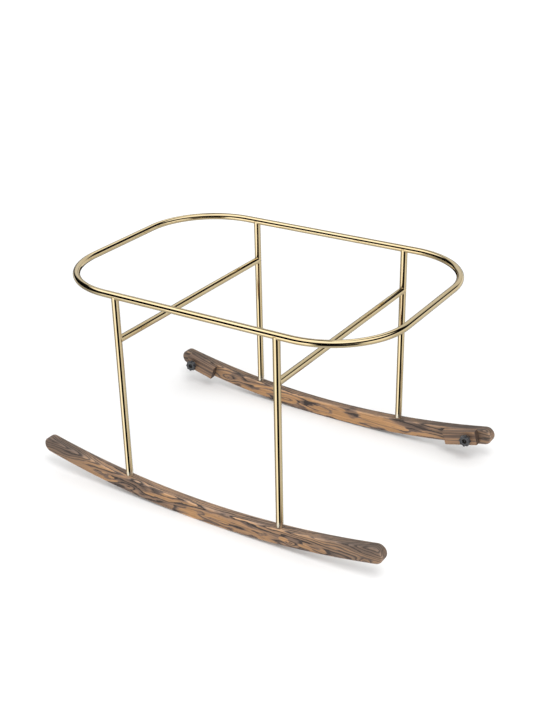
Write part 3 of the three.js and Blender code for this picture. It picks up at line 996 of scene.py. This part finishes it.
for end_name, x in (("left", -PIVOT_X), ("right", PIVOT_X)):
    back, face = standing_off(f"stopper_stud_{end_name}")
    stud = [(back, STUD_TIP)] + threaded(back + STUD_LEAD, -THREAD_PITCH)
    stud += [(0.0, SCREW_RADIUS), (STUD_PLAIN, SCREW_RADIUS)]
    stud += threaded(STUD_PLAIN + THREAD_PITCH / 2, face - STUD_LEAD) + [(face, STUD_TIP)]
    bm = on_pivot(grown(40, stud), x)
    name = f"stopper_threaded_stud_{end_name}"
    finished(bm, name, stud_painted_shade, "stand", "zinc_steel", f"stopper_stud_{end_name}")

    back, face = standing_off(f"friction_washer_{end_name}")
    bm = on_pivot(flat_washer(64, back, face, FRICTION_WASHER, FRICTION_CHAMFER), x)
    name = f"fibre_washer_{end_name}"
    finished(bm, name, fibre_card, "stand", "fibre", f"friction_washer_{end_name}")

# ---- The stoppers ----
# Two blocks of the same softwood, cut square at the outer end and at a slant at the inner end,
# which meets the floor when the block is turned down. Their edges are only just broken.
STOPPER_THICK = 0.018
STOPPER_DEEP = 0.035
STOPPER_TAIL = 0.022
STOPPER_COCK = math.radians(3.5)
STOPPER_SLANT = math.radians(4.2)
STOPPER_EASE = 0.0012
# How far off the rocker's inner face the block's drill starts and ends, clear of the block.
DRILL_FROM = -0.002
DRILL_TO = 0.024
# Nearly black: the end grain's stain, with painted shade on the block's end faces.
END_GRAIN_AND_SHADE = (0.045, 0.030, 0.024)
FLOOR_CLEAR = 0.0003
BLOCK_RINGS = 0.0034
BLOCK_LATE_WOOD = [(0, 0.45), (0.1, 0.1), (0.55, 0.3), (0.9, 0.9), (1, 0.45)]
BLOCK_STAIN = [
    (0.30, (0.37, 0.215, 0.115)),
    (0.50, (0.215, 0.135, 0.090)),
    (0.70, (0.120, 0.080, 0.060)),
    (0.95, (0.05, 0.034, 0.027)),
]


def plain_wood(name, turn, seed):
    """Straight-grained stained wood, its grain along the block."""
    material, tree, shader, place = new_material(name)
    along = node(tree, "ShaderNodeMapping", None, Vector=place, Rotation=(0, turn, 0)).outputs[0]
    bend = noise(tree, stretched(tree, along, (12, 40, 40), (seed, 0, 0)), 1.0, 2.0, 0.5)
    rings = maths(tree, "MULTIPLY_ADD", part_of(tree, along, 1), 0.35, part_of(tree, along, 2))
    rings = maths(tree, "MULTIPLY_ADD", bend, 0.006, rings)
    phase = maths(tree, "FRACT", maths(tree, "MULTIPLY", rings, 1 / BLOCK_RINGS))
    late = ramp(tree, phase, BLOCK_LATE_WOOD)
    fibre = noise(tree, stretched(tree, along, (16, 520, 520), (seed, 0, 0)), 1.0, 3.0, 0.6)
    streak = noise(tree, stretched(tree, along, (5, 150, 150), (seed, 3, 0)), 1.0, 2.0, 0.5)
    tone = maths(tree, "MULTIPLY_ADD", fade(tree, streak, 0.35, 0.65), 0.42, 0.06)
    tone = maths(tree, "MULTIPLY_ADD", late, 0.42, tone)
    tone = maths(tree, "MULTIPLY_ADD", fibre, 0.28, tone)
    colour = ramp(tree, tone, BLOCK_STAIN)
    # End grain drinks the stain, and the end faces carry painted shade as well, so they show nearly
    # black.
    facing = node(tree, "ShaderNodeTexCoord").outputs["Normal"]
    endwise = maths(tree, "ABSOLUTE", part_of(tree, facing, 0))
    end_grain_and_shade = fade(tree, endwise, 0.45, 0.85, 0.0, 0.8)
    colour = blend_colours(tree, end_grain_and_shade, colour, END_GRAIN_AND_SHADE)
    rough = maths(tree, "MULTIPLY_ADD", fibre, 0.2, 0.42)
    relief = maths(tree, "MULTIPLY_ADD", fibre, 0.7, late)
    dressed(tree, shader, colour, rough, relief, 0.35, 0.0003)
    shader.inputs["Specular IOR Level"].default_value = WOOD_SHEEN
    return material


park_slope = math.asin(PIVOT_X / LOWER_RADIUS) + STOPPER_COCK
inner_reach = pivot_z - FLOOR_CLEAR
for end_name, end in (("left", -1), ("right", 1)):
    bm = bmesh.new()
    corners = []
    for at_tail, half in ((True, -1), (False, -1), (False, 1), (True, 1)):
        above = half * STOPPER_DEEP / 2
        slanted = (inner_reach + above * math.sin(STOPPER_SLANT)) / math.cos(STOPPER_SLANT)
        inward = -STOPPER_TAIL if at_tail else slanted
        x = -inward * math.cos(park_slope) - above * math.sin(park_slope)
        z = above * math.cos(park_slope) - inward * math.sin(park_slope)
        corners.append(bm.verts.new((end * x, 0, z)))
    for first, second in zip(corners, corners[1:] + corners[:1]):
        bm.edges.new((first, second))
    bmesh.ops.edgeloop_fill(bm, edges=bm.edges[:])
    board_of(bm, STOPPER_THICK, STOPPER_EASE, 0)
    near_corner, far_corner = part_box(f"stopper_{end_name}")
    middle = (near_corner.y + far_corner.y) / 2
    bmesh.ops.translate(bm, vec=(end * PIVOT_X, middle, pivot_z), verts=bm.verts)
    block_wood = plain_wood(f"stopper_wood_{end_name}", end * park_slope, 5.0 + end)
    name = f"wood_stopper_{end_name}"
    block = finished(bm, name, block_wood, f"stopper_{end_name}", "stopper_wood", f"stopper_{end_name}")
    drill = grown(32, [(DRILL_FROM, SCREW_HOLE), (DRILL_TO, SCREW_HOLE)])
    drilled(block, [on_pivot(drill, end * PIVOT_X)])

# ---- The knobs ----
# Moulded black plastic hand knobs, with eight lobes to grip and an open hole through the middle for a
# brass insert, which runs on the stud and clamps the stopper over a plain washer. The insert is
# coloured near black as painted shade in the hole, and lighter worn patches on the plastic are partly
# painted highlights.
KNOB_RADIUS = 0.014
LOBES = 8
KNOB_WASHER = 0.0080
COLLAR_RADIUS = 0.0090
INSERT_RADIUS = 0.0053
PLASTIC = (0.022, 0.0235, 0.027)
# Lighter patches: wear, and painted highlights on the knob.
PLASTIC_WORN_AND_HIGHLIGHT = (0.060, 0.064, 0.074)
# Near black: painted shade for the insert inside the knob's hole.
INSERT_PAINTED_SHADE = (0.060, 0.047, 0.030)
INSERT_PAINTED_SHADE_DULL = (0.032, 0.026, 0.019)


def lobed(radius, swell):
    """A radius that dips from its lobes to its flutes, round the axis."""
    return lambda turn: radius - swell * (1 - math.cos(LOBES * turn))


black_plastic, tree, shader, place = new_material("black_plastic")
texture = noise(tree, place, 900.0, 3.0, 0.6)
# Where the plastic is lighter: wear, and painted highlights on the ribs.
wear_and_highlight = noise(tree, place, 120.0, 3.0, 0.5)
shade = blend_colours(tree, fade(tree, wear_and_highlight, 0.35, 0.8), PLASTIC, PLASTIC_WORN_AND_HIGHLIGHT)
dressed(tree, shader, shade, fade(tree, wear_and_highlight, 0.3, 0.8, 0.30, 0.46), texture, 0.25, 0.0001)
shader.inputs["Coat Weight"].default_value = 0.6
shader.inputs["Coat Roughness"].default_value = 0.22
# The insert's colour, dark as painted shade in the knob's hole.
insert_painted_shade = turned_metal("insert_painted_shade_brass", INSERT_PAINTED_SHADE, INSERT_PAINTED_SHADE_DULL, 0.4, 0.6)

for end_name, x in (("left", -PIVOT_X), ("right", PIVOT_X)):
    back, face = standing_off(f"knob_washer_{end_name}")
    bm = on_pivot(flat_washer(56, back, face, KNOB_WASHER), x)
    name = f"plain_washer_{end_name}"
    finished(bm, name, zinc, f"washer_{end_name}", "zinc_steel", f"knob_washer_{end_name}")

    back, face = standing_off(f"knob_{end_name}")
    knob = [
        (back, 0.0056),
        (back, COLLAR_RADIUS - 0.0004),
        (back + 0.0004, COLLAR_RADIUS),
        (back + 0.0037, COLLAR_RADIUS),
        (back + 0.0040, 0.0094),
        (back + 0.0040, lobed(0.0122, 0.0007)),
        (back + 0.0044, lobed(0.0132, 0.0010)),
        (back + 0.0054, lobed(KNOB_RADIUS, 0.0012)),
        (face - 0.0018, lobed(KNOB_RADIUS, 0.0012)),
        (face - 0.0009, lobed(0.0137, 0.00115)),
        (face - 0.0003, lobed(0.0131, 0.0010)),
        (face, lobed(0.0122, 0.0007)),
        (face, lobed(0.0104, 0.0002)),
        (face - 0.0003, 0.0099),
        (face - 0.0011, 0.0096),
        (face - 0.0013, 0.0092),
        (face - 0.0013, 0.0064),
        (face - 0.0019, 0.0056),
    ]
    bm = on_pivot(grown(160, knob, closed=True), x)
    name = f"plastic_knob_{end_name}"
    finished(bm, name, black_plastic, f"knob_{end_name}", "black_plastic", f"knob_{end_name}")

    back, face = standing_off(f"knob_insert_{end_name}")
    insert = [
        (back, SCREW_HOLE + BREAK),
        (back, INSERT_RADIUS - BREAK),
        (back + BREAK, INSERT_RADIUS),
        (face - BREAK, INSERT_RADIUS),
        (face, INSERT_RADIUS - BREAK),
        (face, SCREW_HOLE + TAPPED_LEAD),
        (face - TAPPED_LEAD, SCREW_HOLE),
        (back + 0.0004, SCREW_HOLE),
    ]
    bm = on_pivot(grown(48, insert, closed=True), x)
    name = f"brass_insert_{end_name}"
    finished(bm, name, insert_painted_shade, f"knob_{end_name}", "turned_brass", f"knob_insert_{end_name}")
